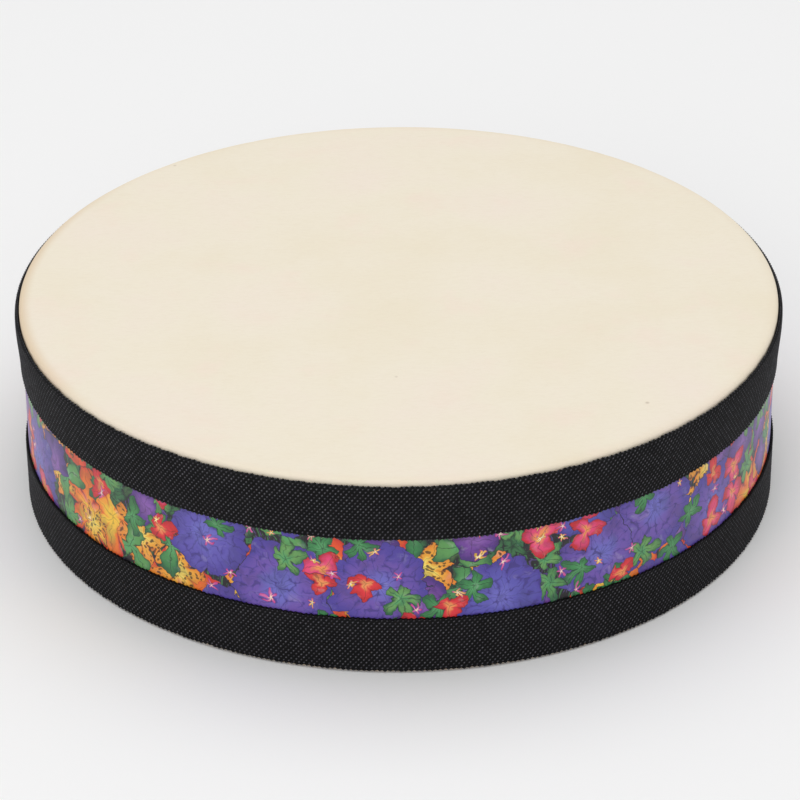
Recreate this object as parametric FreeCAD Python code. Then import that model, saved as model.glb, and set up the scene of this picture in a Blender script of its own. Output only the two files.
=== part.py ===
"""Frame drum: a bent-ply shell, a tacked skin head, a printed wrap and two webbing bands.

Millimetres. +Z is up. The origin is the centre of the circle that the open rim rests on.
Angles are measured from +X towards +Y, and the front of the drum faces -Y.
"""
import FreeCAD, Part
import math
import os

# ---------------------------------------------------------------- overall sizes
shell_diameter = 304.8        # outside of the wooden shell, a 12 inch drum
shell_depth = 83.4            # from the rim that it rests on to the bearing edge

# ---------------------------------------------------------------- bent-ply shell
ply_names = (
    "shell_inner_ply",
    "shell_inner_crossband",
    "shell_core_ply",
    "shell_outer_crossband",
    "shell_outer_ply",
)
ply_thickness = 1.1           # one veneer
ply_glue_line = 0.03          # between two veneers
ply_seam_gap = 0.15           # open width of the butt seam of each veneer
bearing_round = 1.0           # outer edge that the skin bends over
bearing_round_limit = 0.95    # the most of it, as a share of the outer veneer
bearing_bevel_angle = 45.0    # fall of the bearing edge towards the inside, degrees
rim_chamfer = 0.5             # broken edges of the rim that the drum rests on

# ---------------------------------------------------------------- coverings
glue_line = 0.05              # between any two glued layers outside the shell
wrap_thickness = 0.25         # printed sheet round the shell
wrap_seam_gap = 0.3           # open width of its butt seam
wrap_bottom = 2.0             # its lower edge, under the lower band
skin_thickness = 0.6          # drumhead
wrap_under_upper_band = 3.2   # how far the sheet goes up under the upper band
skin_to_wrap = 0.5            # bare shell between the skin's lower edge and the wrap

# ---------------------------------------------------------------- tacking
tack_strip_thickness = 0.65   # strip that the staples pull down on the skin
tack_strip_width = 5.0
tack_strip_top = 2.7          # below the bearing edge
tack_strip_seam_gap = 0.6
staple_count = 24
staple_crown = 6.0            # outside width, along the strip
staple_leg = 4.2              # from the outside of the crown to the points
staple_wire_width = 0.6       # along the strip, and up and down
staple_wire_depth = 0.5       # across the crown
staple_clearance = 0.03       # all round, in everything that it is driven through

# ---------------------------------------------------------------- webbing bands
webbing_width = 23.7
webbing_thickness = 1.2
webbing_selvedge_round = 0.4
webbing_lip = 0.55            # how far the rolled top edge turns in over the strip
webbing_lip_lean = 0.025      # by which the lip's end leans away from the skin
lower_band_lift = 0.3         # the wood, not the webbing, touches the floor
upper_band_drop = 1.5         # from the bearing edge down to the rolled top edge
webbing_flat_on_skin = 5.5    # height over which it lies flat on the skin, below its slope
webbing_lap = 25.0            # length of the end that lies over the start
webbing_ramp = 8.0            # length over which that end climbs

# ---------------------------------------------------------------- seams, all at the back
staple_pitch = 360.0 / staple_count
wrap_seam_angle = 97.0
tack_seam_angle = 97.0
lap_start_angle = 104.0
ply_seam_stagger = 5.0 * staple_pitch   # keeps every seam midway between two staples

# ---------------------------------------------------------------- worked out from the above
shell_radius = shell_diameter / 2.0
ply_step = ply_thickness + ply_glue_line
bevel_slope = math.tan(math.radians(bearing_bevel_angle))
bevel_start_radius = shell_radius - ply_thickness
edge_round = min(bearing_round, bearing_round_limit * ply_thickness)
layer_radius = shell_radius + glue_line
wrap_radius = layer_radius + wrap_thickness
skin_radius = layer_radius + skin_thickness
strip_inner_radius = skin_radius + glue_line
strip_radius = strip_inner_radius + tack_strip_thickness
strip_top = shell_depth - tack_strip_top
strip_bottom = strip_top - tack_strip_width
upper_band_top = shell_depth - upper_band_drop
upper_band_height = webbing_width - webbing_lip / 2.0   # the roll takes up the rest
upper_band_bottom = upper_band_top - upper_band_height
wrap_top = upper_band_bottom + wrap_under_upper_band
skin_bottom = wrap_top + skin_to_wrap
slope_start = skin_bottom + webbing_flat_on_skin

AXIS = FreeCAD.Vector(0, 0, 1)
ORIGIN = FreeCAD.Vector(0, 0, 0)


def spot(radius, height):
    """A point of a section, which is drawn in the XZ plane."""
    return FreeCAD.Vector(radius, 0, height)


def outline(steps):
    """A closed wire. A step is a point, or a pair: the middle of an arc, and its end."""
    edges = []
    first = steps[0]
    here = first
    for step in steps[1:] + [first]:
        if isinstance(step, tuple):
            middle, there = step
            edges.append(Part.Arc(here, middle, there).toShape())
        else:
            there = step
            edges.append(Part.LineSegment(here, there).toShape())
        here = there
    return Part.Wire(edges)


def turned(steps, start=0.0, sweep=360.0):
    """The solid that a section makes when it is swept round the drum's axis."""
    face = Part.Face(outline(steps))
    face.rotate(ORIGIN, AXIS, start)
    return face.revolve(ORIGIN, AXIS, sweep)


def split_ring(steps, radius, seam_angle, gap):
    """A ring with an open butt seam."""
    gap_angle = math.degrees(gap / radius)
    return turned(steps, seam_angle + gap_angle / 2.0, 360.0 - gap_angle)


def arc_point(centre_radius, centre_height, radius, degrees):
    angle = math.radians(degrees)
    return spot(centre_radius + radius * math.cos(angle), centre_height + radius * math.sin(angle))


def export(name, shape):
    shape.exportStep("parts/%s.step" % name)
    print("%-24s solids %d  volume %.1f" % (name, len(shape.Solids), shape.Volume))


# ---------------------------------------------------------------- the shell's veneers
def bearing_height(radius):
    """Top of the shell at a radius: flat on the outer veneer, then falling inwards."""
    return shell_depth - max(0.0, bevel_start_radius - radius) * bevel_slope


def make_ply(index):
    outer = shell_radius - (len(ply_names) - 1 - index) * ply_step
    inner = outer - ply_thickness
    steps = []
    if index == 0:
        steps.append(spot(inner, rim_chamfer))
        steps.append(spot(inner + rim_chamfer, 0))
    else:
        steps.append(spot(inner, 0))
    if index == len(ply_names) - 1:
        centre_radius = outer - edge_round
        centre_height = shell_depth - edge_round
        steps.append(spot(outer - rim_chamfer, 0))
        steps.append(spot(outer, rim_chamfer))
        steps.append(spot(outer, centre_height))
        middle = arc_point(centre_radius, centre_height, edge_round, 45)
        steps.append((middle, spot(centre_radius, shell_depth)))
    else:
        steps.append(spot(outer, 0))
        steps.append(spot(outer, bearing_height(outer)))
    steps.append(spot(inner, bearing_height(inner)))
    seam = wrap_seam_angle + index * ply_seam_stagger
    return split_ring(steps, outer, seam, ply_seam_gap)


# ---------------------------------------------------------------- the skin and what holds it
def make_drumhead():
    centre_radius = shell_radius - edge_round
    centre_height = shell_depth - edge_round
    under = edge_round + glue_line
    over = under + skin_thickness
    steps = [
        spot(0, centre_height + under),
        spot(centre_radius, centre_height + under),
        (arc_point(centre_radius, centre_height, under, 45), spot(layer_radius, centre_height)),
        spot(layer_radius, skin_bottom),
        spot(skin_radius, skin_bottom),
        spot(skin_radius, centre_height),
        (arc_point(centre_radius, centre_height, over, 45), spot(centre_radius, centre_height + over)),
        spot(0, centre_height + over),
    ]
    return turned(steps)


def make_tack_strip():
    steps = [
        spot(strip_inner_radius, strip_bottom),
        spot(strip_radius, strip_bottom),
        spot(strip_radius, strip_top),
        spot(strip_inner_radius, strip_top),
    ]
    return split_ring(steps, strip_radius, tack_seam_angle, tack_strip_seam_gap)


def make_staple(grow):
    """One staple, pointing at the axis, its crown flush with the strip. grow makes its hole."""
    height = staple_wire_width + 2.0 * grow
    depth = staple_wire_depth + 2.0 * grow
    reach = staple_leg + 2.0 * grow
    middle = (strip_top + strip_bottom) / 2.0
    bottom = middle - height / 2.0
    outside = strip_radius + grow
    crown = Part.makeBox(
        depth,
        staple_crown + 2.0 * grow,
        height,
        FreeCAD.Vector(outside - depth, -staple_crown / 2.0 - grow, bottom),
    )
    solid = crown
    for side in (-1, 1):
        centre = side * (staple_crown - staple_wire_width) / 2.0
        leg = Part.makeBox(
            reach,
            height,
            height,
            FreeCAD.Vector(outside - reach, centre - height / 2.0, bottom),
        )
        solid = solid.fuse(leg)
    # The crown follows the strip, so its outer corners are taken off at the strip's own radius.
    rim = Part.makeCylinder(strip_radius + grow, 4.0 * height, spot(0, middle - 2.0 * height))
    return solid.common(rim).removeSplitter()


def make_staples(grow):
    first = make_staple(grow)
    staples = []
    for number in range(staple_count):
        staple = first.copy()
        staple.rotate(ORIGIN, AXIS, tack_seam_angle + (number + 0.5) * staple_pitch)
        staples.append(staple.Solids[0])
    return Part.makeCompound(staples)


# ---------------------------------------------------------------- the coverings
def make_wrap():
    steps = [
        spot(layer_radius, wrap_bottom),
        spot(wrap_radius, wrap_bottom),
        spot(wrap_radius, wrap_top),
        spot(layer_radius, wrap_top),
    ]
    return split_ring(steps, wrap_radius, wrap_seam_angle, wrap_seam_gap)


def lower_band_section(out):
    """Plain strap on the wrap, both selvedges rounded on the outside. out moves it outwards."""
    inner = wrap_radius + glue_line + out
    outer = inner + webbing_thickness
    bottom = lower_band_lift
    top = bottom + webbing_width
    rounded = webbing_selvedge_round
    return [
        spot(inner, bottom),
        spot(outer - rounded, bottom),
        (arc_point(outer - rounded, bottom + rounded, rounded, -45), spot(outer, bottom + rounded)),
        spot(outer, top - rounded),
        (arc_point(outer - rounded, top - rounded, rounded, 45), spot(outer - rounded, top)),
        spot(inner, top),
    ]


def upper_band_section(out):
    """Strap that climbs from the wrap over the skin and the strip, its top edge rolled in."""
    on_wrap = wrap_radius + glue_line + out
    on_skin = skin_radius + glue_line + out
    on_strip = strip_radius + glue_line + out
    lip_tip = on_strip - webbing_lip
    bottom = upper_band_bottom
    top = upper_band_top
    rounded = webbing_selvedge_round
    crest = on_strip + webbing_thickness
    lip_under = strip_top + 2.0 * glue_line
    lip_drop = top - lip_under
    return [
        spot(on_wrap, bottom),
        spot(on_wrap + webbing_thickness - rounded, bottom),
        (
            arc_point(on_wrap + webbing_thickness - rounded, bottom + rounded, rounded, -45),
            spot(on_wrap + webbing_thickness, bottom + rounded),
        ),
        spot(on_wrap + webbing_thickness, wrap_top),
        spot(on_skin + webbing_thickness, slope_start),
        spot(crest, strip_bottom),
        spot(crest, lip_under),
        (
            arc_point(crest - lip_drop, lip_under, lip_drop, 45),
            spot(crest - lip_drop, top),
        ),
        spot(lip_tip + webbing_lip_lean, top),
        spot(lip_tip, lip_under),
        spot(on_strip, lip_under),
        spot(on_strip, strip_bottom),
        spot(on_skin, slope_start),
        spot(on_skin, skin_bottom),
        spot(on_wrap, wrap_top - skin_to_wrap),
    ]


def make_band(section):
    """One strap once round the drum, its end climbing over its own start and lying there."""
    out = webbing_thickness + 2.0 * glue_line
    ramp_angle = math.degrees(webbing_ramp / shell_radius)
    lap_angle = math.degrees(webbing_lap / shell_radius)
    start_gap = math.degrees(glue_line / shell_radius)
    climb_from = lap_start_angle - ramp_angle - start_gap
    climb_to = lap_start_angle - start_gap
    once_round = turned(section(0.0), lap_start_angle, 360.0 - ramp_angle - start_gap)
    low = outline(section(0.0))
    low.rotate(ORIGIN, AXIS, climb_from)
    high = outline(section(out))
    high.rotate(ORIGIN, AXIS, climb_to)
    ramp = Part.makeLoft([low, high], True, True)
    over_start = turned(section(out), climb_to, lap_angle)
    return once_round.fuse([ramp, over_start]).removeSplitter()


def build():
    os.makedirs("parts", exist_ok=True)
    holes = make_staples(staple_clearance)
    for index, name in enumerate(ply_names):
        ply = make_ply(index)
        if ply.BoundBox.XMax > strip_radius - staple_leg - 2.0 * staple_clearance:
            ply = ply.cut(holes)
        export(name, ply)
    export("drumhead", make_drumhead().cut(holes))
    export("head_tack_strip", make_tack_strip().cut(holes))
    export("head_staples", make_staples(0.0))
    export("printed_wrap", make_wrap())
    export("lower_webbing_band", make_band(lower_band_section))
    export("upper_webbing_band", make_band(upper_band_section))


build()
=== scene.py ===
"""Looks of the frame drum: woven webbing, printed sheet, skin head and bent-ply shell.

Metres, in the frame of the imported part. +Z is up and the front of the drum faces -Y.
"""
import math

import bmesh
import bpy
import numpy as np
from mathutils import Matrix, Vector, noise


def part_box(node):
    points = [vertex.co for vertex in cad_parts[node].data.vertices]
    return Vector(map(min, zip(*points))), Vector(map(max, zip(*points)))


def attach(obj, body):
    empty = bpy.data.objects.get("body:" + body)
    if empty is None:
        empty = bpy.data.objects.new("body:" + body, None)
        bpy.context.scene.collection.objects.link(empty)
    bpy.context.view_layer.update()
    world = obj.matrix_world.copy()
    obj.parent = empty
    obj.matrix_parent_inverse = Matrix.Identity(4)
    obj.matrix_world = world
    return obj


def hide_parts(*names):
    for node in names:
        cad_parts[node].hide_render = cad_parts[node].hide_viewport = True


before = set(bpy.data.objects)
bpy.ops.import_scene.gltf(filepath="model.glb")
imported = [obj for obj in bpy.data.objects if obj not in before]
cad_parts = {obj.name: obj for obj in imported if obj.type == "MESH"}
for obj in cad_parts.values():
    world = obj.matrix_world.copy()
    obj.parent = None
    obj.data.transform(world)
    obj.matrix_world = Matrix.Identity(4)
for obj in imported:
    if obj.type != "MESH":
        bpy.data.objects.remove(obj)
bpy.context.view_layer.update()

MM = 0.001
TAU = 2.0 * math.pi

# ---------------------------------------------------------------- sizes and places
GLUE_LINE = 0.05 * MM
SKIN_THICKNESS = 0.6 * MM
BEARING_ROUND = 1.0 * MM
WEBBING_THICKNESS = 1.2 * MM
WEBBING_SELVEDGE = 0.45 * MM       # rounding of the tape's edges
WEBBING_LAP = 25.0 * MM
WEBBING_RAMP = 8.0 * MM
LAP_START = math.radians(104.0)
WRAP_SEAM = math.radians(97.0)
WRAP_SEAM_GAP = 0.3 * MM
SKIN_TO_WRAP = 0.5 * MM            # from the skin's lower edge down to the printed sheet
WRAP_UNDER_BAND = 3.2 * MM         # how far the printed sheet goes up under the upper tape
FLAT_ON_SKIN = 5.5 * MM            # height over which the upper tape lies flat on the skin

WARP_ROWS = 20                     # floats side by side across the tape
PICK_PITCH = 2.0 * MM              # from one float to the next in the same row
COLUMNS_PER_PICK = 4
WEAVE_RELIEF = 0.34 * MM
WEAVE_UNEVENNESS = 0.16 * MM
BEAD_ROOM = 0.25 * MM              # keeps the beads of the lowest selvedge off the floor
SHEET_COLUMNS = 961
SKIN_SEGMENTS = 360
SWELL_SPACING = 55.0 * MM          # the skin's faint hollows
SWELL_DEPTH = 0.2 * MM
SWELL_FADE = 20.0 * MM             # they die away over this, towards the rim
PUCKER_DEPTH = 0.12 * MM

GRAIN_ROUND_SHELL = (12.0, 12.0, 330.0)
GRAIN_UP_SHELL = (420.0, 420.0, 10.0)

shell_low, shell_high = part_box("shell_outer_ply")
wrap_low, wrap_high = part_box("printed_wrap")
skin_low, skin_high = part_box("drumhead")
strip_low, strip_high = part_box("head_tack_strip")
upper_low, upper_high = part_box("upper_webbing_band")
lower_low, lower_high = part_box("lower_webbing_band")
SHELL_RADIUS = shell_high[0]
WRAP_RADIUS = wrap_high[0]
SKIN_RADIUS = skin_high[0]
STRIP_RADIUS = strip_high[0]


def tone(code):
    """A colour written as six hex digits, in the linear values that a shader takes."""
    channels = [int(code[i:i + 2], 16) / 255.0 for i in (0, 2, 4)]
    linear = [c / 12.92 if c <= 0.04045 else ((c + 0.055) / 1.055) ** 2.4 for c in channels]
    return (*linear, 1.0)


# ---------------------------------------------------------------- writing node trees
class Wire:
    """The output of a node, which sums and products can be written with."""

    def __init__(self, tree, socket):
        self.tree = tree
        self.socket = socket

    def math(self, operation, *others):
        node = self.tree.nodes.new("ShaderNodeMath")
        node.operation = operation
        for place, value in enumerate((self, *others)):
            join(self.tree, value, node.inputs[place])
        return Wire(self.tree, node.outputs[0])

    def __add__(self, other):
        return self.math("ADD", other)

    def __sub__(self, other):
        return self.math("SUBTRACT", other)

    def __mul__(self, other):
        return self.math("MULTIPLY", other)

    def __truediv__(self, other):
        return self.math("DIVIDE", other)

    def __pow__(self, other):
        return self.math("POWER", other)


def join(tree, value, socket):
    """Puts a wire or a plain value into a socket."""
    if isinstance(value, Wire):
        tree.links.new(value.socket, socket)
    elif value is not None:
        socket.default_value = value


def node_of(tree, kind, inputs=None, output=0, **settings):
    """A new node with its inputs joined. Returns the wire of one output, or the node for None."""
    node = tree.nodes.new(kind)
    for name, value in settings.items():
        setattr(node, name, value)
    for name, value in (inputs or {}).items():
        join(tree, value, node.inputs[name])
    return node if output is None else Wire(tree, node.outputs[output])


def step(wire, low, high):
    """A smooth change from 0 to 1 as the wire goes from low to high."""
    inputs = {"Value": wire, "From Min": low, "From Max": high}
    return node_of(wire.tree, "ShaderNodeMapRange", inputs, interpolation_type="SMOOTHSTEP", clamp=False)


def blend(tree, share, first, second):
    """A colour between two: the first for a share of 0, the second for 1."""
    node = tree.nodes.new("ShaderNodeMix")
    node.data_type = "RGBA"
    join(tree, share, node.inputs[0])
    join(tree, first, node.inputs[6])
    join(tree, second, node.inputs[7])
    return Wire(tree, node.outputs[2])


def ramp(wire, *stops):
    """A colour ramp. A stop is a position and a colour."""
    node = wire.tree.nodes.new("ShaderNodeValToRGB")
    band = node.color_ramp
    while len(band.elements) < len(stops):
        band.elements.new(1.0)
    for element, (position, colour) in zip(band.elements, stops):
        element.position = position
        element.color = colour
    join(wire.tree, wire, node.inputs[0])
    return Wire(wire.tree, node.outputs[0])


def cloudy(tree, vector, scale, detail=3.0, roughness=0.55, distortion=0.0, output="Fac"):
    """Soft noise between 0 and 1."""
    inputs = {
        "Vector": vector, "Scale": scale, "Detail": detail,
        "Roughness": roughness, "Distortion": distortion,
    }
    return node_of(tree, "ShaderNodeTexNoise", inputs, output=output)


def new_group(name, kind, sockets):
    """An empty node group. A socket is (direction, type, name) or (direction, type, name, default)."""
    group = bpy.data.node_groups.new(name, kind)
    for direction, socket_type, label, *default in sockets:
        socket = group.interface.new_socket(label, in_out=direction, socket_type=socket_type)
        if default:
            socket.default_value = default[0]
    given = group.nodes.new("NodeGroupInput")
    result = group.nodes.new("NodeGroupOutput")
    wires = {socket.name: Wire(group, socket) for socket in given.outputs if socket.name}
    return group, wires, result


def use_group(tree, group, **inputs):
    """Places a group. Input names are written with underscores."""
    node = tree.nodes.new("ShaderNodeGroup")
    node.node_tree = group
    for name, value in inputs.items():
        join(tree, value, node.inputs[name.replace("_", " ")])
    return {socket.name: Wire(tree, socket) for socket in node.outputs}


def new_material(name):
    """A material with a Principled BSDF, which is returned with its tree."""
    material = bpy.data.materials.new(name)
    material.use_nodes = True
    tree = material.node_tree
    return material, tree, tree.nodes["Principled BSDF"]


def raise_surface(tree, shader, height, strength, distance):
    """A bump on the shader's normal."""
    inputs = {"Height": height, "Strength": strength, "Distance": distance}
    join(tree, node_of(tree, "ShaderNodeBump", inputs), shader.inputs["Normal"])


def object_place(tree):
    """The place on the drum, in metres."""
    return node_of(tree, "ShaderNodeTexCoord", output="Object")


def scaled(tree, vector, factors):
    """A vector with each part multiplied by its own factor."""
    inputs = {0: vector, 1: factors}
    return node_of(tree, "ShaderNodeVectorMath", inputs, operation="MULTIPLY")


def moved(tree, vector, offset):
    """A vector with an offset added."""
    inputs = {0: vector, 1: offset}
    return node_of(tree, "ShaderNodeVectorMath", inputs, operation="ADD")


def split(tree, vector):
    """The three parts of a vector or colour."""
    node = node_of(tree, "ShaderNodeSeparateXYZ", {0: vector}, output=None)
    return [Wire(tree, socket) for socket in node.outputs]


def combined(tree, x=0.0, y=0.0, z=0.0):
    """A vector from its parts."""
    return node_of(tree, "ShaderNodeCombineXYZ", {0: x, 1: y, 2: z})


def stored(tree, geometry, name, data_type, domain, value):
    """The geometry with a named attribute written on it."""
    inputs = {"Geometry": geometry, "Name": name, "Value": value}
    return node_of(tree, "GeometryNodeStoreNamedAttribute", inputs, data_type=data_type, domain=domain)


# ---------------------------------------------------------------- straps round the shell
def make_strap_tree():
    """Sweeps a closed section once round the drum and presses a weave into its outer face."""
    sockets = [
        ("INPUT", "NodeSocketGeometry", "Section"),
        ("INPUT", "NodeSocketInt", "Columns"),
        ("INPUT", "NodeSocketInt", "Section Points"),
        ("INPUT", "NodeSocketFloat", "Length"),
        ("INPUT", "NodeSocketFloat", "Bend Radius"),
        ("INPUT", "NodeSocketFloat", "Start Angle"),
        ("INPUT", "NodeSocketFloat", "Lap Length"),
        ("INPUT", "NodeSocketFloat", "Ramp Length"),
        ("INPUT", "NodeSocketFloat", "Lap Lift"),
        ("INPUT", "NodeSocketFloat", "Pick Pitch"),
        ("INPUT", "NodeSocketFloat", "Relief"),
        ("INPUT", "NodeSocketFloat", "Unevenness"),
        ("INPUT", "NodeSocketFloat", "Seed"),
        ("INPUT", "NodeSocketMaterial", "Finish"),
        ("OUTPUT", "NodeSocketGeometry", "Strap"),
    ]
    tree, given, result = new_group("strap_round_shell", "GeometryNodeTree", sockets)
    grid = node_of(tree, "GeometryNodeMeshGrid", {
        "Vertices X": given["Columns"],
        "Vertices Y": given["Section Points"] + 1.0,
    }, output=None)
    place = split(tree, node_of(tree, "GeometryNodeInputPosition"))
    along_share = place[0] + 0.5
    round_section = (place[1] + 0.5) * given["Section Points"]
    index = (round_section + 0.5).math("FLOOR").math("MODULO", given["Section Points"])

    def of_section(name, data_type):
        """What the section holds at the point that this vertex is swept from."""
        if name == "position":
            value = node_of(tree, "GeometryNodeInputPosition")
        else:
            node = tree.nodes.new("GeometryNodeInputNamedAttribute")
            node.data_type = data_type
            node.inputs["Name"].default_value = name
            value = Wire(tree, node.outputs[0])
        sample = tree.nodes.new("GeometryNodeSampleIndex")
        sample.data_type = data_type
        join(tree, given["Section"], sample.inputs["Geometry"])
        join(tree, value, sample.inputs["Value"])
        join(tree, index, sample.inputs["Index"])
        return Wire(tree, sample.outputs[0])

    radius, _, height = split(tree, of_section("position", "FLOAT_VECTOR"))
    outward, _, upward = split(tree, of_section("section_normal", "FLOAT_VECTOR"))
    row = of_section("row", "FLOAT")
    woven = of_section("woven", "FLOAT")
    selvedge = of_section("selvedge", "FLOAT")

    # Floats lie in rows along the strap, and neighbouring rows are half a step apart. A float is highest
    # in its middle, its sheen, which the finish paints into the colour, reaches a little further, and no
    # two are quite alike.
    along = along_share * given["Length"]
    spot = combined(tree, along / given["Pick Pitch"], row * 0.9, given["Seed"])
    wander = cloudy(tree, spot, 0.55, detail=2.0) - 0.5
    puff = cloudy(tree, moved(tree, spot, (31.0, 7.0, 0.0)), 0.8, detail=2.0) - 0.5
    odd = row.math("FLOOR").math("MODULO", 2.0)
    phase = along / given["Pick Pitch"] + odd * 0.5
    float_height = (phase * TAU).math("COSINE") * 0.5 + 0.5
    ridge = (row * math.pi).math("SINE").math("ABSOLUTE")
    surface = ridge ** 0.55 * (float_height ** 1.6 * 0.85 + 0.15)
    # Painted sheen: stored on the mesh so that the finish paints it into the colour of the floats.
    sheen = (ridge * 0.6 + 0.4) * (float_height ** 2.2 * 0.9 + 0.1) * (puff * 1.1 + 0.96) * woven
    press = (surface - 1.0) * given["Relief"] * (puff * 0.7 + 1.0) * woven
    slide = wander * given["Unevenness"] * 2.0 * woven
    drift = combined(tree, along / given["Pick Pitch"], 0.0, given["Seed"] + 5.0)
    swell = cloudy(tree, drift, 0.55, detail=3.0)
    # The selvedge swells beside each float and wanders along the strap.
    bead = float_height * (puff * 4.0 + 3.4)
    scallop = (bead + swell * 10.0 - 6.2) * selvedge * given["Unevenness"]

    # The end climbs over the start.
    lap_from = given["Length"] - given["Lap Length"]
    climb = node_of(tree, "ShaderNodeMapRange", {
        "Value": along, "From Min": lap_from - given["Ramp Length"], "From Max": lap_from,
        "To Min": 0.0, "To Max": given["Lap Lift"],
    }, interpolation_type="SMOOTHSTEP")
    angle = given["Start Angle"] + (along + slide) / given["Bend Radius"]
    reach = radius + outward * press + climb
    level = height + upward * press + scallop
    position = combined(tree, reach * angle.math("COSINE"), reach * angle.math("SINE"), level)

    # The finish reads the stored float sheen to paint highlight on the floats and shade between them, and
    # "strap" for the place along the strap.
    flat = Wire(tree, grid.outputs["Mesh"])
    flat = stored(tree, flat, "painted_float_sheen", "FLOAT", "POINT", sheen)
    flat = stored(tree, flat, "strap", "FLOAT2", "CORNER", Wire(tree, grid.outputs["UV Map"]))
    shaped = node_of(tree, "GeometryNodeSetPosition", {"Geometry": flat, "Position": position})
    welded = node_of(tree, "GeometryNodeMergeByDistance", {"Geometry": shaped, "Distance": 0.005 * MM})
    smooth = node_of(tree, "GeometryNodeSetShadeSmooth", {"Geometry": welded})
    real = node_of(tree, "GeometryNodeRealizeInstances", {"Geometry": smooth})
    finished = node_of(tree, "GeometryNodeSetMaterial", {"Geometry": real, "Material": given["Finish"]})
    join(tree, finished, result.inputs["Strap"])
    return tree


def section_object(name, outline, row, woven, selvedge):
    """The points of a closed section as a loose mesh, with what the sweep reads at each."""
    count = len(outline)
    mesh = bpy.data.meshes.new(name)
    edges = [(i, (i + 1) % count) for i in range(count)]
    mesh.from_pydata([(r, 0.0, z) for r, z in outline], edges, [])
    points = np.array(outline)
    chord = np.roll(points, -1, axis=0) - np.roll(points, 1, axis=0)
    normals = np.stack([chord[:, 1], np.zeros(count), -chord[:, 0]], axis=1)
    normals /= np.linalg.norm(normals, axis=1)[:, None]
    attribute = mesh.attributes.new("section_normal", "FLOAT_VECTOR", "POINT")
    attribute.data.foreach_set("vector", normals.ravel())
    for label, values in (("row", row), ("woven", woven), ("selvedge", selvedge)):
        attribute = mesh.attributes.new(label, "FLOAT", "POINT")
        attribute.data.foreach_set("value", np.array(values, dtype=float))
    thing = bpy.data.objects.new(name, mesh)
    bpy.context.scene.collection.objects.link(thing)
    return thing


def as_plain_mesh(thing):
    """Turns an object's evaluated shape into its own plain mesh and drops its modifiers."""
    evaluated = thing.evaluated_get(bpy.context.evaluated_depsgraph_get())
    mesh = bpy.data.meshes.new_from_object(evaluated)
    thing.modifiers.clear()
    thing.data = mesh
    mesh.name = thing.name


def close_and_face_outwards(mesh):
    """Fills the open ends of a mesh and turns its normals outwards."""
    edit = bmesh.new()
    edit.from_mesh(mesh)
    rim = [edge for edge in edit.edges if edge.is_boundary]
    bmesh.ops.holes_fill(edit, edges=rim, sides=0)
    bmesh.ops.recalc_face_normals(edit, faces=edit.faces)
    edit.to_mesh(mesh)
    edit.free()


def strip_map(mesh, source, rows):
    """A second map for baked colour: the long strip cut into rows that fill the square."""
    margin = 0.004
    count = len(mesh.loops)
    uv = np.empty(count * 2, dtype=np.float32)
    mesh.uv_layers[source].data.foreach_get("uv", uv)
    uv = uv.reshape(-1, 2)
    starts = np.empty(len(mesh.polygons), dtype=np.int32)
    totals = np.empty(len(mesh.polygons), dtype=np.int32)
    mesh.polygons.foreach_get("loop_start", starts)
    mesh.polygons.foreach_get("loop_total", totals)
    sums = np.add.reduceat(uv[:, 0], starts) / totals
    row = np.clip(np.floor(sums * rows), 0, rows - 1)
    row_of_loop = np.repeat(row, totals)
    across_row = np.clip(uv[:, 1], 0, 1) * (1 - 2 * margin * rows) + margin * rows
    packed = np.empty_like(uv)
    packed[:, 0] = np.clip(uv[:, 0] * rows - row_of_loop, 0, 1) * (1 - 2 * margin) + margin
    packed[:, 1] = (row_of_loop + across_row) / rows
    layer = mesh.uv_layers.new(name="OFBake", do_init=False)
    layer.data.foreach_set("uv", packed.ravel())
    mesh.uv_layers[source].active_render = True
    mesh.uv_layers[source].active = True


def make_strap(name, tree, section, finish, settings, bake_rows):
    """A strap piece: the section swept by the tree, made a plain closed mesh."""
    outline, row, woven, selvedge = section
    thing = section_object(name, outline, row, woven, selvedge)
    modifier = thing.modifiers.new("sweep", "NODES")
    modifier.node_group = tree
    wanted = dict(settings)
    wanted["Section Points"] = len(outline)
    wanted["Finish"] = finish
    for item in tree.interface.items_tree:
        if item.name in wanted:
            modifier[item.identifier] = wanted[item.name]
    thing.update_tag()
    as_plain_mesh(thing)
    close_and_face_outwards(thing.data)
    strip_map(thing.data, "strap", bake_rows)
    return thing


def spaced_points(points, count):
    """count points at even distances along a line of points, both ends included."""
    points = np.array(points)
    lengths = np.concatenate([[0.0], np.cumsum(np.linalg.norm(np.diff(points, axis=0), axis=1))])
    wanted = np.linspace(0.0, lengths[-1], count)
    return np.stack([np.interp(wanted, lengths, points[:, i]) for i in range(2)], axis=1)


def arc(centre, radius, from_degrees, to_degrees, count):
    """Points on an arc, both ends included."""
    angles = np.radians(np.linspace(from_degrees, to_degrees, count))
    return [(centre[0] + radius * math.cos(a), centre[1] + radius * math.sin(a)) for a in angles]


def webbing_section(face, inner):
    """A tape's section from the line of its outer face and of its inner one, both going up."""
    outer = spaced_points(face, 2 * WARP_ROWS + 1)
    back = spaced_points(inner, 6)[::-1]
    outline = [tuple(p) for p in outer] + [tuple(p) for p in back]
    row = [i / 2.0 for i in range(len(outer))] + [0.0] * len(back)
    woven = [1.0] * len(outer) + [0.0] * len(back)
    selvedge = [0.0] * len(outline)
    for i, share in ((0, 1.0), (1, 0.8), (2, 0.4), (3, 0.15)):
        selvedge[i] = -share
        selvedge[2 * WARP_ROWS - i] = share
    selvedge[len(outer)] = 0.8
    selvedge[-1] = -0.8
    return outline, row, woven, selvedge


def lower_section():
    """Lies flat on the printed sheet, with rounded selvedges."""
    inner = WRAP_RADIUS + GLUE_LINE
    outer = lower_high[0]
    low, high, edge = lower_low[2] + BEAD_ROOM, lower_high[2], WEBBING_SELVEDGE
    face = arc((outer - edge, low + edge), edge, -75, 0, 5)
    face += arc((outer - edge, high - edge), edge, 0, 75, 5)
    return webbing_section(face, [(inner, low + 0.1 * MM), (inner, high - 0.1 * MM)])


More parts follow.
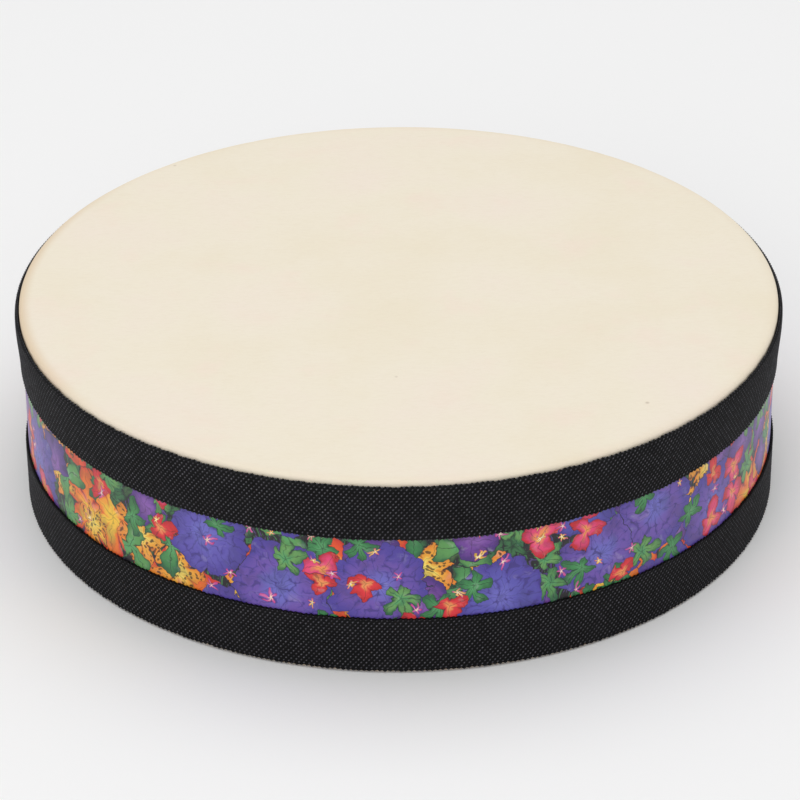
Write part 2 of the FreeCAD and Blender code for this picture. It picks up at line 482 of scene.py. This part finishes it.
def upper_section():
    """Lies on the printed sheet at the bottom, climbs over skin and strip, and rolls in at the top."""
    on_wrap = WRAP_RADIUS + GLUE_LINE
    on_skin = SKIN_RADIUS + GLUE_LINE
    on_strip = STRIP_RADIUS + GLUE_LINE
    low, high = upper_low[2], upper_high[2]
    wrap_top = low + WRAP_UNDER_BAND
    slope_start = wrap_top + SKIN_TO_WRAP + FLAT_ON_SKIN
    strip_bottom, strip_top = strip_low[2], strip_high[2]
    lip_under = strip_top + 2.0 * GLUE_LINE
    inner = [
        (on_wrap, low + 0.1 * MM), (on_wrap, wrap_top), (on_skin, wrap_top + 1.5 * MM),
        (on_skin, slope_start), (on_strip, strip_bottom), (on_strip, lip_under),
    ]
    crest = on_strip + WEBBING_THICKNESS
    roll = high - lip_under
    edge = WEBBING_SELVEDGE
    face = arc((on_wrap + WEBBING_THICKNESS - edge, low + edge), edge, -75, 0, 5)
    face += [
        (on_wrap + WEBBING_THICKNESS, wrap_top), (on_skin + WEBBING_THICKNESS, slope_start),
        (crest - 0.12 * MM, strip_bottom - 1.0 * MM), (crest, strip_bottom + 1.5 * MM),
    ]
    face += arc((crest - roll, lip_under), roll, 0, 78, 7) + [(SKIN_RADIUS + 0.2 * MM, high + 0.05 * MM)]
    outline, row, woven, selvedge = webbing_section(face, inner)
    # The back's first point is the lip's inner corner, beside the skin.
    corner = len(outline) - 6
    outline[corner] = (on_skin + 0.05 * MM, high - 0.9 * MM)
    return outline, row, woven, selvedge


def sheet_section():
    """A thin upright sheet, with points up its outer face that carry the print."""
    low, high = wrap_low[2], wrap_high[2]
    inner, outer = WRAP_RADIUS - 0.25 * MM, WRAP_RADIUS
    outline = [(outer, z) for z in np.linspace(low, high, 13)] + [(inner, high), (inner, low)]
    zero = [0.0] * len(outline)
    return outline, zero, zero, zero


def make_band(name, tree, section, radius, finish, seed):
    """A webbing band: a whole number of floats long, its end lapping its start."""
    picks = round((TAU * radius + WEBBING_LAP) / PICK_PITCH)
    settings = {
        "Columns": picks * COLUMNS_PER_PICK + 1,
        "Length": picks * PICK_PITCH,
        "Bend Radius": radius,
        "Start Angle": LAP_START,
        "Lap Length": WEBBING_LAP,
        "Ramp Length": WEBBING_RAMP,
        "Lap Lift": WEBBING_THICKNESS + 2.0 * GLUE_LINE,
        "Pick Pitch": PICK_PITCH,
        "Relief": WEAVE_RELIEF,
        "Unevenness": WEAVE_UNEVENNESS,
        "Seed": seed,
    }
    return make_strap(name, tree, section, finish, settings, bake_rows=6)


def make_sheet(tree, finish):
    """The printed sheet: once round the shell, with an open seam and no weave."""
    gap = WRAP_SEAM_GAP / WRAP_RADIUS
    settings = {
        "Columns": SHEET_COLUMNS,
        "Length": TAU * WRAP_RADIUS - WRAP_SEAM_GAP,
        "Bend Radius": WRAP_RADIUS,
        "Start Angle": WRAP_SEAM + gap / 2.0,
        "Lap Length": 0.0,
        "Ramp Length": 1.0 * MM,
        "Lap Lift": 0.0,
        "Pick Pitch": PICK_PITCH,
        "Relief": 0.0,
        "Unevenness": 0.0,
        "Seed": 0.0,
    }
    return make_strap("printed_sheet", tree, sheet_section(), finish, settings, bake_rows=4)


# ---------------------------------------------------------------- the head
def make_skin(finish):
    """The skin: a membrane with faint hollows, a rounded shoulder and a collar down the shell."""
    segments = SKIN_SEGMENTS
    top = skin_high[2]
    centre_radius = SHELL_RADIUS - BEARING_ROUND
    centre_height = shell_high[2] - BEARING_ROUND
    under = BEARING_ROUND + GLUE_LINE
    over = under + SKIN_THICKNESS
    flat_radii = [centre_radius * share for share in np.linspace(0.0, 1.0, 49)[1:]]
    outer = [(r, top) for r in flat_radii]
    outer += arc((centre_radius, centre_height), over, 75, 0, 6)
    outer += [(SKIN_RADIUS, z) for z in np.linspace(centre_height, skin_low[2], 6)[1:]]
    inner = [(SHELL_RADIUS + GLUE_LINE, z) for z in np.linspace(skin_low[2], centre_height, 6)]
    inner += arc((centre_radius, centre_height), under, 15, 90, 6)
    inner += [(r, top - SKIN_THICKNESS) for r in flat_radii[-2::-1]]
    line = outer + inner
    points = [(0.0, 0.0, top)]
    for r, z in line:
        for k in range(segments):
            a = TAU * k / segments
            points.append((r * math.cos(a), r * math.sin(a), z))
    points.append((0.0, 0.0, top - SKIN_THICKNESS))
    faces = []
    for k in range(segments):
        faces.append((0, 1 + k, 1 + (k + 1) % segments))
    for i in range(len(line) - 1):
        a, b = 1 + i * segments, 1 + (i + 1) * segments
        for k in range(segments):
            n = (k + 1) % segments
            faces.append((a + k, b + k, b + n, a + n))
    last = 1 + (len(line) - 1) * segments
    for k in range(segments):
        faces.append((last + k, len(points) - 1, last + (k + 1) % segments))
    # Faint hollows of a hide, and small puckers where it turns over the shoulder.
    for i, (x, y, z) in enumerate(points):
        r = math.hypot(x, y)
        swell = noise.noise(Vector((x, y, 0.0)) / SWELL_SPACING) * SWELL_DEPTH
        fade = min(1.0, max(0.0, (SHELL_RADIUS - r) / SWELL_FADE))
        pucker = 0.0
        if z > centre_height and r > centre_radius - 4.0 * MM:
            turn = math.atan2(y, x)
            wave = noise.noise(Vector((math.cos(turn), math.sin(turn), 0.4)) * 26.0)
            pucker = -abs(wave) * PUCKER_DEPTH
        points[i] = (x, y, z + min(swell, 0.0) * fade + pucker)
    mesh = bpy.data.meshes.new("skin_head")
    mesh.from_pydata(points, [], faces)
    for polygon in mesh.polygons:
        polygon.use_smooth = True
    thing = bpy.data.objects.new("skin_head", mesh)
    bpy.context.scene.collection.objects.link(thing)
    mesh.materials.append(finish)
    close_and_face_outwards(mesh)
    return thing


# ---------------------------------------------------------------- finishes
def skin_finish():
    """Pale hide: cream with peach and straw clouds, painted shade towards the rim, fine fibres, a few
    pores and flecks.
    """
    material, tree, shader = new_material("pale_hide")
    place = object_place(tree)
    x, y, z = split(tree, place)
    radius = (x * x + y * y).math("SQRT")
    clouds = cloudy(tree, place, 16.0, detail=4.0)
    patches = cloudy(tree, moved(tree, place, (3.0, 1.0, 0.0)), 34.0, detail=3.0)
    colour = ramp(clouds, (0.3, tone("ece2cc")), (0.5, tone("eee5d2")), (0.72, tone("efe3d4")))
    peach = step(patches, 0.52, 0.75) * 0.55
    colour = blend(tree, peach, colour, tone("f0dfcf"))
    # Painted shade: a tan band towards the rim where the shoulder turns down, strongest on the left side.
    edge = step(radius, 0.1475, SKIN_RADIUS)
    left_rim_shade = step(x, -0.11, -0.15)
    colour = blend(tree, edge * (left_rim_shade * 0.6 + 0.14), colour, tone("d9bf9c"))
    fibres = cloudy(tree, scaled(tree, place, (260.0, 900.0, 260.0)), 1.0, detail=4.0, distortion=1.2)
    colour = blend(tree, step(fibres, 0.35, 0.8) * 0.14, colour, tone("d8c8ac"))
    cells = node_of(tree, "ShaderNodeTexVoronoi", {"Vector": place, "Scale": 42.0}, output=None)
    chosen = split(tree, Wire(tree, cells.outputs["Color"]))
    fleck = step(Wire(tree, cells.outputs["Distance"]), 0.05, 0.01) * step(chosen[0], 0.80, 0.84)
    colour = blend(tree, fleck * 0.45, colour, tone("a58f74"))
    join(tree, colour, shader.inputs["Base Color"])
    grain = cloudy(tree, place, 900.0, detail=4.0)
    join(tree, grain * 0.16 + 0.52, shader.inputs["Roughness"])
    shader.inputs["Specular IOR Level"].default_value = 0.32
    raise_surface(tree, shader, grain * 0.6 + fibres * 0.4 + clouds * 2.0, 0.35, 0.12 * MM)
    return material


def webbing_finish():
    """Black textured yarn, with painted shade between the floats and a painted dull grey sheen of
    filaments on each.
    """
    material, tree, shader = new_material("black_webbing")
    painted_float_sheen = node_of(tree, "ShaderNodeAttribute", output="Fac", attribute_name="painted_float_sheen")
    strap = node_of(tree, "ShaderNodeUVMap", uv_map="strap")
    filaments = cloudy(tree, scaled(tree, strap, (1500.0, 420.0, 1.0)), 1.0, detail=3.0, distortion=0.8)
    place = object_place(tree)
    sheen_patches = cloudy(tree, place, 75.0, detail=3.0)
    fine = cloudy(tree, place, 1500.0, detail=2.0)
    # Painted highlight and shade: the stored float sheen, with the yarn's own filament streaks, runs the
    # colour from near-black between the floats to grey on their tops.
    colour = ramp(
        painted_float_sheen + (filaments - 0.5) * 0.45,
        (0.0, tone("020203")), (0.3, tone("0d0d0e")), (0.6, tone("363539")), (1.0, tone("76757b")),
    )
    # Painted sheen: patches where the tops of the floats are painted a lighter grey.
    colour = blend(tree, step(sheen_patches, 0.4, 0.8) * painted_float_sheen * 0.5, colour, tone("3b3a3e"))
    join(tree, colour, shader.inputs["Base Color"])
    join(tree, fine * 0.25 + 0.60, shader.inputs["Roughness"])
    shader.inputs["Specular IOR Level"].default_value = 0.12
    raise_surface(tree, shader, filaments + fine * 0.5, 0.5, 0.09 * MM)
    return material


def make_motif_layer():
    """Lays one kind of inked and painted motif over a colour: petals, leaves or scallops round a point.

    Lengths are in millimetres. A motif's edge lies at Size cells from its centre, cut in by Depth
    between the lobes: roundly where Sharpness is under one, to points where it is over one. Share is
    the part of the cells that hold a motif, and Cluster how much these gather in some places.
    """
    sockets = [
        ("INPUT", "NodeSocketColor", "Under"),
        ("INPUT", "NodeSocketVector", "Place"),
        ("INPUT", "NodeSocketFloat", "Seed"),
        ("INPUT", "NodeSocketFloat", "Cell"),
        ("INPUT", "NodeSocketFloat", "Share"),
        ("INPUT", "NodeSocketFloat", "Size"),
        ("INPUT", "NodeSocketFloat", "Lobes"),
        ("INPUT", "NodeSocketFloat", "Depth"),
        ("INPUT", "NodeSocketFloat", "Sharpness"),
        ("INPUT", "NodeSocketFloat", "Wobble"),
        ("INPUT", "NodeSocketFloat", "Vein"),
        ("INPUT", "NodeSocketFloat", "Freckles"),
        ("INPUT", "NodeSocketFloat", "Florets"),
        ("INPUT", "NodeSocketFloat", "Cluster"),
        ("INPUT", "NodeSocketFloat", "Spots"),
        ("INPUT", "NodeSocketFloat", "Gaps"),
        ("INPUT", "NodeSocketFloat", "Knots"),
        ("INPUT", "NodeSocketColor", "Core"),
        ("INPUT", "NodeSocketColor", "Middle"),
        ("INPUT", "NodeSocketColor", "Other Middle"),
        ("INPUT", "NodeSocketColor", "Rim"),
        ("INPUT", "NodeSocketFloat", "Ink Width"),
        ("OUTPUT", "NodeSocketColor", "Color"),
    ]
    tree, given, result = new_group("motif_layer", "ShaderNodeTree", sockets)
    cell = given["Cell"]
    seed_shift = combined(tree, given["Seed"] * 7.31, given["Seed"] * 3.17)
    divided = {0: given["Place"], 1: combined(tree, cell, cell, cell)}
    in_cells = node_of(tree, "ShaderNodeVectorMath", divided, operation="DIVIDE")
    point = moved(tree, in_cells, seed_shift)
    pattern = {"Vector": point, "Scale": 1.0, "Randomness": 0.78}
    nearest = node_of(tree, "ShaderNodeTexVoronoi", pattern, output=None, voronoi_dimensions="2D")
    border = node_of(
        tree, "ShaderNodeTexVoronoi", pattern, voronoi_dimensions="2D", feature="DISTANCE_TO_EDGE",
    ) * cell
    chance = split(tree, Wire(tree, nearest.outputs["Color"]))
    centre = Wire(tree, nearest.outputs["Position"])
    centre_x, centre_y, _ = split(tree, centre)
    local = node_of(tree, "ShaderNodeVectorMath", {0: point, 1: centre}, operation="SUBTRACT")
    x, y, _ = split(tree, local)
    reach = (x * x + y * y).math("SQRT")
    ripple = cloudy(tree, point, 5.0, detail=3.0) - 0.5
    turn = y.math("ARCTAN2", x) + chance[1] * TAU + ripple * 0.35
    half_turn = turn * given["Lobes"] * 0.5
    lobe = half_turn.math("COSINE").math("ABSOLUTE") ** given["Sharpness"]
    extent = given["Size"] * (chance[2] * 0.5 + 0.75) * (lobe * given["Depth"] + 1.0 - given["Depth"])
    extent = extent + ripple * given["Wobble"]
    outside = (reach - extent) * cell
    quarter = combined(tree, centre_x * cell, centre_y * cell, given["Seed"] * 9.7)
    crowd = cloudy(tree, quarter, 0.022, detail=1.0)
    likely = given["Share"] * ((crowd - 0.5) * given["Cluster"] * 6.0 + 1.0)
    present = (likely - chance[0]).math("GREATER_THAN", 0.0)
    mask = step(outside, 0.08, -0.08) * present
    ink = step(outside, given["Ink Width"] * -1.6, given["Ink Width"] * -0.6)
    ink = ink.math("MAXIMUM", step(border, given["Ink Width"] * 1.2, given["Ink Width"] * 0.4))
    rib = (half_turn.math("SINE").math("ABSOLUTE") * reach * cell) / (given["Lobes"] * 0.5)
    thread = step(rib, given["Ink Width"] * 1.1, given["Ink Width"] * 0.3) * step(outside, -0.4, -1.4)
    share = reach / extent.math("MAXIMUM", 0.02)
    notch = step(lobe, 0.36, 0.14) * step(share, 0.45, 0.8)
    vein = thread.math("MAXIMUM", notch) * given["Vein"]
    wash = cloudy(tree, point, 3.2, detail=4.0, roughness=0.62)
    middle = blend(tree, step(chance[2], 0.45, 0.55), given["Middle"], given["Other Middle"])
    fill = blend(tree, step(share + (wash - 0.5) * 0.7, 0.15, 0.5), given["Core"], middle)
    fill = blend(tree, step(share + (wash - 0.5) * 1.1, 0.5, 0.98), fill, given["Rim"])
    pooled = blend(tree, 0.6, fill, (0.01, 0.008, 0.02, 1.0))
    fill = blend(tree, step(wash, 0.52, 0.34) * 0.55, fill, pooled)
    thinned = blend(tree, 0.5, fill, (0.95, 0.93, 0.95, 1.0))
    fill = blend(tree, step(wash, 0.56, 0.72) * 0.3, fill, thinned)
    fill = blend(tree, given["Spots"] * given["Freckles"], fill, tone("2b1712"))
    fill = blend(tree, given["Gaps"] * given["Florets"], fill, given["Rim"])
    fill = blend(tree, given["Knots"] * given["Florets"], fill, tone("2a2050"))
    fill = blend(tree, vein, fill, blend(tree, 0.72, fill, (0.008, 0.006, 0.012, 1.0)))
    fill = blend(tree, ink * 0.88, fill, tone("1c1820"))
    join(tree, blend(tree, mask, given["Under"], fill), result.inputs["Color"])
    return tree


def sheet_finish():
    """A semi-gloss printed sheet: inked flowers and leaves crowded over a night-dark ground."""
    material, tree, shader = new_material("printed_sheet")
    layer = make_motif_layer()
    strap = split(tree, node_of(tree, "ShaderNodeUVMap", uv_map="strap"))
    height = split(tree, object_place(tree))[2]
    along = strap[0] * (TAU * WRAP_RADIUS / MM)
    place = combined(tree, along, height / MM)
    # A gentle wander, so that no outline runs straight.
    wander = cloudy(tree, place, 0.11, detail=3.0, roughness=0.5, output="Color")
    place = moved(tree, place, scaled(tree, moved(tree, wander, (-0.5, -0.5, -0.5)), (9.0, 9.0, 0.0)))
    lean = cloudy(tree, place, 0.06, detail=1.0)
    upright = combined(tree, along * 0.9 + lean * 14.0, height / MM * 0.16)
    blades = cloudy(tree, upright, 1.0, detail=2.0)
    mottle = cloudy(tree, place, 0.25, detail=4.0)
    colour = ramp(mottle, (0.35, tone("17151a")), (0.6, tone("262329")), (0.8, tone("2f3a2e")))
    colour = blend(tree, step(blades, 0.56, 0.62) * 0.85, colour, tone("3f7a4a"))
    colour = blend(tree, step(blades, 0.41, 0.37) * 0.7, colour, tone("5d4a86"))
    # Small marks that several kinds of motif carry.
    specks = node_of(tree, "ShaderNodeTexVoronoi", {
        "Vector": place, "Scale": 0.42, "Randomness": 0.8,
    }, voronoi_dimensions="2D")
    spots = step(specks, 0.30, 0.20)
    gaps = step(specks, 0.44, 0.66)
    knots = step(specks, 0.60, 0.74) * 0.8
    motifs = (
        # Seed, cell, share and cluster; size, lobes, depth, sharpness and wobble of the outline;
        # vein, freckles and florets; core, middle, other middle and rim; ink width.
        (1.0, 13.0, 0.7, 0.2, (0.6, 5.0, 0.55, 1.2, 0.14), (0.7, 0.0, 0.0),
         ("2c5a38", "3b7046", "46623a", "1d3a2a"), 0.22),  # low leaves
        (3.0, 33.0, 0.8, 0.6, (0.8, 6.0, 0.6, 1.0, 0.2), (0.5, 0.0, 0.0),
         ("f9c840", "f07a26", "e8562a", "d2362a"), 0.26),  # big hot flowers
        (5.0, 24.0, 0.36, 0.9, (0.52, 7.0, 0.55, 1.2, 0.16), (0.5, 0.8, 0.0),
         ("f9dc66", "f4c040", "efa636", "e88428"), 0.22),  # freckled yellow flowers
        (4.0, 22.0, 0.48, 0.7, (0.66, 3.0, 0.86, 2.4, 0.16), (0.9, 0.0, 0.0),
         ("5aa466", "3f8a50", "5f9a55", "2b6340"), 0.22),  # long leaves
        (6.0, 22.0, 0.42, 0.8, (0.52, 4.0, 0.26, 0.7, 0.14), (0.5, 0.0, 0.2),
         ("8a5cae", "74459c", "63408f", "4c2f7c"), 0.22),  # purple flowers
        (8.0, 36.0, 0.5, 0.5, (0.52, 12.0, 0.12, 0.5, 0.26), (0.4, 0.0, 0.5),
         ("6f6cc2", "5f5ab4", "7054ac", "4f419c"), 0.24),  # blue clusters of florets
        (7.0, 14.0, 0.24, 0.9, (0.6, 5.0, 0.62, 1.3, 0.16), (0.8, 0.0, 0.0),
         ("58a266", "3f8a50", "6aa05a", "2b6340"), 0.2),  # small leaves
        (9.0, 17.0, 0.3, 0.9, (0.46, 3.0, 0.62, 1.0, 0.3), (0.6, 0.0, 0.0),
         ("f59a5a", "e2343c", "e9487a", "c3242c"), 0.2),  # red and pink blossoms
        (12.0, 8.0, 0.14, 1.0, (0.3, 5.0, 0.78, 2.0, 0.05), (0.0, 0.0, 0.0),
         ("fbf0d0", "f6c83c", "d66aa8", "c83c8c"), 0.08),  # tiny stars
    )
    for seed, cell, share, cluster, outline, marks, tones, ink in motifs:
        size, lobes, depth, sharpness, wobble = outline
        vein, freckles, florets = marks
        core, middle, other, rim = (tone(code) for code in tones)
        colour = use_group(
            tree, layer, Under=colour, Place=place, Seed=seed, Cell=cell, Share=share, Cluster=cluster,
            Size=size, Lobes=lobes, Depth=depth, Sharpness=sharpness, Wobble=wobble,
            Vein=vein, Freckles=freckles, Florets=florets, Spots=spots, Gaps=gaps, Knots=knots,
            Core=core, Middle=middle, Other_Middle=other, Rim=rim, Ink_Width=ink,
        )["Color"]
    join(tree, colour, shader.inputs["Base Color"])
    orange_peel = cloudy(tree, place, 0.35, detail=3.0)
    join(tree, orange_peel * 0.12 + 0.30, shader.inputs["Roughness"])
    shader.inputs["Specular IOR Level"].default_value = 0.42
    raise_surface(tree, shader, orange_peel, 0.15, 0.1 * MM)
    return material


def make_wood_grain():
    """Fine wood: soft bands, long streaks and short dark pores along the first axis of Place."""
    sockets = [
        ("INPUT", "NodeSocketVector", "Place"),
        ("INPUT", "NodeSocketVector", "Stretch"),
        ("INPUT", "NodeSocketColor", "Light"),
        ("INPUT", "NodeSocketColor", "Dark"),
        ("INPUT", "NodeSocketColor", "Pore"),
        ("INPUT", "NodeSocketFloat", "Figure"),
        ("OUTPUT", "NodeSocketColor", "Color"),
        ("OUTPUT", "NodeSocketFloat", "Height"),
    ]
    tree, given, result = new_group("wood_grain", "ShaderNodeTree", sockets)
    place = scaled(tree, given["Place"], given["Stretch"])
    bands = cloudy(tree, place, 0.22, detail=3.0, distortion=0.7)
    streaks = cloudy(tree, place, 1.0, detail=5.0, roughness=0.6, distortion=0.3)
    pores = cloudy(tree, place, 3.4, detail=2.0)
    figure = cloudy(tree, given["Place"], 38.0, detail=2.0)
    share = step(bands * 0.6 + streaks * 0.4, 0.36, 0.64)
    colour = blend(tree, share, given["Light"], given["Dark"])
    colour = blend(tree, step(pores, 0.36, 0.26) * 0.5, colour, given["Pore"])
    shimmer = step(figure, 0.35, 0.7) * given["Figure"]
    colour = blend(tree, shimmer, colour, blend(tree, 0.5, colour, given["Dark"]))
    join(tree, colour, result.inputs["Color"])
    join(tree, streaks + pores * 0.5, result.inputs["Height"])
    return tree


def wood_finish(name, group, stretch, light, dark, pore, roughness, coat):
    """A veneer: the wood grain stretched one way, with a clear coat where there is one."""
    material, tree, shader = new_material(name)
    grain = use_group(
        tree, group, Place=object_place(tree), Stretch=stretch, Light=tone(light), Dark=tone(dark),
        Pore=tone(pore), Figure=0.35,
    )
    join(tree, grain["Color"], shader.inputs["Base Color"])
    join(tree, grain["Height"] * 0.14 + roughness, shader.inputs["Roughness"])
    shader.inputs["Coat Weight"].default_value = coat
    shader.inputs["Coat Roughness"].default_value = 0.22
    raise_surface(tree, shader, grain["Height"], 0.25, 0.08 * MM)
    return material


def fibre_finish():
    """Pressed red-brown fibre board, with a felted surface."""
    material, tree, shader = new_material("pressed_fibre")
    place = object_place(tree)
    felt = cloudy(tree, place, 700.0, detail=4.0, distortion=1.5)
    stain = cloudy(tree, place, 60.0, detail=3.0)
    colour = blend(tree, step(felt, 0.3, 0.7), tone("4a1f17"), tone("6b3021"))
    colour = blend(tree, step(stain, 0.5, 0.75) * 0.5, colour, tone("351a16"))
    join(tree, colour, shader.inputs["Base Color"])
    join(tree, felt * 0.2 + 0.55, shader.inputs["Roughness"])
    raise_surface(tree, shader, felt, 0.4, 0.08 * MM)
    return material


def wire_finish():
    """Zinc-plated wire with drawing lines and dull spots."""
    material, tree, shader = new_material("plated_wire")
    place = object_place(tree)
    lines = cloudy(tree, scaled(tree, place, (300.0, 300.0, 4000.0)), 1.0, detail=2.0)
    dull = cloudy(tree, place, 220.0, detail=3.0)
    colour = blend(tree, step(dull, 0.4, 0.7), tone("b9bcbf"), tone("96999d"))
    join(tree, colour, shader.inputs["Base Color"])
    join(tree, lines * 0.2 + dull * 0.2 + 0.12, shader.inputs["Roughness"])
    shader.inputs["Metallic"].default_value = 1.0
    raise_surface(tree, shader, lines, 0.2, 0.02 * MM)
    return material


# ---------------------------------------------------------------- stage, light and camera
def make_floor():
    """A wide pale floor, which takes the soft shadow."""
    mesh = bpy.data.meshes.new("floor")
    half = 6.0
    corners = [(-half, -half, 0.0), (half, -half, 0.0), (half, half, 0.0), (-half, half, 0.0)]
    mesh.from_pydata(corners, [], [(0, 1, 2, 3)])
    floor = bpy.data.objects.new("floor", mesh)
    bpy.context.scene.collection.objects.link(floor)
    material, tree, shader = new_material("pale_floor")
    shader.inputs["Base Color"].default_value = (0.93, 0.93, 0.93, 1.0)
    shader.inputs["Roughness"].default_value = 0.9
    mesh.materials.append(material)


def make_world():
    """White where it is seen, and a dimmer light on the drum."""
    world = bpy.data.worlds.new("studio")
    world.use_nodes = True
    tree = world.node_tree
    tree.nodes.clear()
    path = tree.nodes.new("ShaderNodeLightPath")
    seen = Wire(tree, path.outputs["Is Camera Ray"])
    for other in ("Is Glossy Ray", "Is Transmission Ray"):
        seen = seen.math("MAXIMUM", Wire(tree, path.outputs[other]))
    glow = node_of(tree, "ShaderNodeBackground", {"Color": (1, 1, 1, 1), "Strength": 0.55})
    white = node_of(tree, "ShaderNodeBackground", {"Color": (1, 1, 1, 1), "Strength": 1.0})
    chosen = node_of(tree, "ShaderNodeMixShader", {0: seen, 1: glow, 2: white})
    output = tree.nodes.new("ShaderNodeOutputWorld")
    join(tree, chosen, output.inputs["Surface"])
    bpy.context.scene.world = world


def make_lamp(name, place, size, watts):
    """A soft rectangular lamp that faces the drum."""
    lamp = bpy.data.lights.new(name, "AREA")
    lamp.shape = "RECTANGLE"
    lamp.size, lamp.size_y = size
    lamp.energy = watts
    thing = bpy.data.objects.new(name, lamp)
    bpy.context.scene.collection.objects.link(thing)
    thing.location = place
    aim = Vector((0.0, 0.0, 0.04)) - Vector(place)
    thing.rotation_euler = aim.to_track_quat("-Z", "Y").to_euler()


def make_camera():
    """Looks at the drum from the front and above, from a metre and a third away."""
    distance, elevation, roll = 1.3716, math.radians(29.35), math.radians(-0.38)
    target = Vector((0.0, 0.0, 0.040))
    data = bpy.data.cameras.new("camera")
    data.sensor_width = 36.0
    data.lens = 150.08
    data.shift_x = 0.0011
    data.shift_y = -0.024
    camera = bpy.data.objects.new("camera", data)
    bpy.context.scene.collection.objects.link(camera)
    back = Vector((0.0, -math.cos(elevation), math.sin(elevation)))
    camera.location = target + back * distance
    facing = back.to_track_quat("Z", "Y")
    camera.rotation_euler = facing.to_euler()
    camera.rotation_euler.rotate_axis("Z", roll)
    bpy.context.scene.camera = camera


# ---------------------------------------------------------------- making and attaching
make_floor()
make_world()
make_lamp("softbox_over", (0.0, 0.2, 1.9), (2.2, 2.2), 17.0)
make_lamp("softbox_front", (-0.5, -1.9, 1.2), (1.8, 1.2), 12.0)
make_camera()

strap_tree = make_strap_tree()
webbing = webbing_finish()
upper_band = make_band("upper_webbing", strap_tree, upper_section(), STRIP_RADIUS, webbing, 3.0)
lower_band = make_band("lower_webbing", strap_tree, lower_section(), lower_high[0], webbing, 11.0)
printed_sheet = make_sheet(strap_tree, sheet_finish())
skin_head = make_skin(skin_finish())

for piece, node, slot in (
    (upper_band, "upper_webbing_band", "webbing"),
    (lower_band, "lower_webbing_band", "webbing"),
    (printed_sheet, "printed_wrap", "printed_sheet"),
    (skin_head, "drumhead", "skin"),
):
    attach(piece, "root")
    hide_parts(node)

wood = make_wood_grain()
face_veneer = wood_finish("face_veneer", wood, GRAIN_ROUND_SHELL, "e3c596", "cda36b", "94683a", 0.34, 0.35)
core_veneer = wood_finish("core_veneer", wood, GRAIN_ROUND_SHELL, "d2ab74", "b98a52", "7d5630", 0.5, 0.0)
crossband = wood_finish("crossband_veneer", wood, GRAIN_UP_SHELL, "a9784a", "84562f", "4f321b", 0.6, 0.0)
for node, finish in (
    ("shell_inner_ply", face_veneer), ("shell_outer_ply", face_veneer), ("shell_core_ply", core_veneer),
    ("shell_inner_crossband", crossband), ("shell_outer_crossband", crossband),
    ("head_tack_strip", fibre_finish()), ("head_staples", wire_finish()),
):
    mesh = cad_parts[node].data
    mesh.materials.clear()
    mesh.materials.append(finish)

bpy.context.scene.view_settings.view_transform = "Standard"
